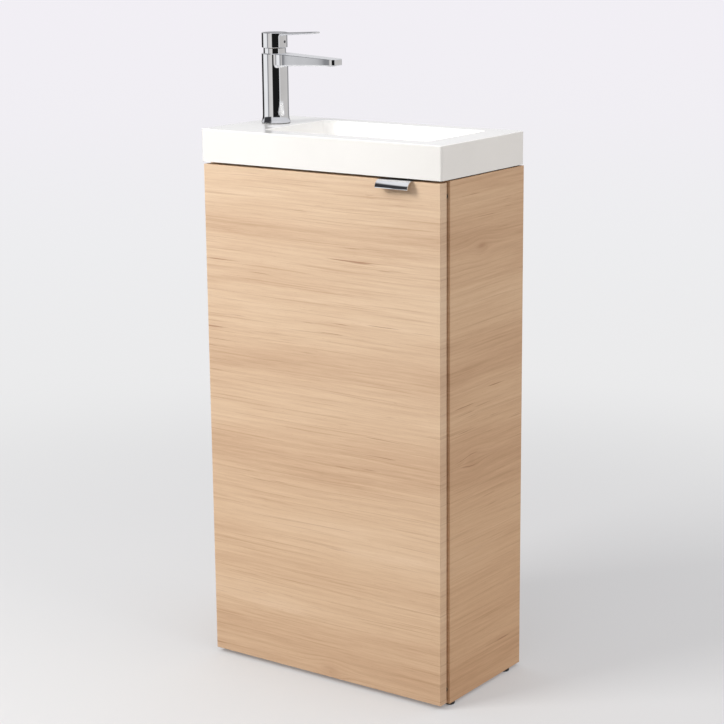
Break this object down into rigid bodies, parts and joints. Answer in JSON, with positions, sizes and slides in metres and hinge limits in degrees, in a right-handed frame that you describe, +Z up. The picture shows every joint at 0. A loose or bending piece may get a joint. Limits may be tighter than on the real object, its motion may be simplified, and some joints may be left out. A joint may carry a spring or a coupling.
{
  "type": "cloakroom vanity unit",
  "caption": "Narrow floor-standing cloakroom vanity unit: wood-effect cabinet with one door, shallow ceramic basin with side tap deck, lever tap, push waste and bottle trap.",
  "frame": {"origin": "under the middle of the whole unit, handle included, on the floor", "axes": "+Z up, +Y towards the wall behind the unit, +X to the right seen from the door"},
  "size_m": [0.44, 0.238, 0.993],
  "materials": {
    "oak_foil": "wood-grain foil, matt",
    "ceramic_glaze": "white glaze, glossy",
    "tap_chrome": "polished chrome plate",
    "handle_chrome": "polished chrome plate",
    "waste_chrome": "polished chrome plate",
    "hinge_steel": "nickel-plated pressed steel",
    "screw_steel": "zinc-plated steel",
    "cam_zinc": "die-cast zinc",
    "beech": "fluted beech",
    "glide_plastic": "black plastic",
    "trap_plastic": "white plastic, satin",
    "cartridge_plastic": "grey plastic",
    "brass_part": "machined brass",
    "seal_rubber": "black rubber",
    "sealant": "white sealant",
    "buffer_rubber": "clear soft plastic",
    "indicator_plastic": "two-colour plastic",
    "aerator_plastic": "grey plastic"
  },
  "bodies": {
    "cabinet": {"side_panel_left": "oak_foil", "side_panel_right": "oak_foil", "bottom_panel": "oak_foil", "top_front_rail": "oak_foil", "back_top_rail": "oak_foil", "back_bottom_rail": "oak_foil", "shelf": "oak_foil", "shelf_pins": "screw_steel", "cam_locks": "cam_zinc", "cam_bolts": "screw_steel", "wood_dowels": "beech", "floor_glides": "glide_plastic", "sealant_bead": "sealant", "hinge_arms": "hinge_steel", "hinge_mounting_plates": "cam_zinc", "hinge_plate_screws": "screw_steel", "hinge_arm_screws": "screw_steel", "basin": "ceramic_glaze", "waste_body": "waste_chrome", "waste_flange_seal": "seal_rubber", "waste_lower_seal": "seal_rubber", "waste_backnut": "brass_part", "plug_guide": "brass_part", "trap_inlet_nut": "trap_plastic", "trap_body": "trap_plastic", "trap_cup": "trap_plastic", "trap_outlet_nut": "trap_plastic", "tap_body": "tap_chrome", "tap_base_gasket": "seal_rubber", "tap_aerator": "aerator_plastic", "tap_cartridge": "cartridge_plastic", "cartridge_nut": "tap_chrome", "tap_fixing_stud": "brass_part", "tap_fixing_washer": "screw_steel", "tap_fixing_nut": "brass_part"},
    "door": {"door_panel": "oak_foil", "hinge_cups": "hinge_steel", "hinge_pins": "screw_steel", "cup_screws": "screw_steel", "door_handle": "handle_chrome", "handle_screws": "screw_steel", "door_bumpers": "buffer_rubber"},
    "tap_swivel": {"cartridge_carrier": "cartridge_plastic", "lever_pivot_pin": "screw_steel"},
    "tap_lever": {"cartridge_stem": "brass_part", "lever_handle": "tap_chrome", "lever_grub_screw": "screw_steel", "temperature_indicator": "indicator_plastic"},
    "waste_plug": {"plug_stem": "screw_steel", "plug_cap": "waste_chrome", "plug_seal": "seal_rubber"}
  },
  "joints": [
    {"name": "door_hinge", "type": "hinge", "parent": "cabinet", "child": "door", "pos_m": [-0.209, -0.0945, 0.107], "axis": [0, 0, -1], "range_deg": [0, 95]},
    {"name": "tap_temperature", "type": "hinge", "parent": "cabinet", "child": "tap_swivel", "pos_m": [-0.173, 0.021, 0.962], "axis": [0, 0, 1], "range_deg": [-45, 45]},
    {"name": "tap_flow", "type": "hinge", "parent": "tap_swivel", "child": "tap_lever", "pos_m": [-0.173, 0.021, 0.962], "axis": [0, -1, 0], "range_deg": [0, 20]},
    {"name": "plug_lift", "type": "slide", "parent": "cabinet", "child": "waste_plug", "axis": [0, 0, 1], "range_m": [0, 0.008]}
  ]
}
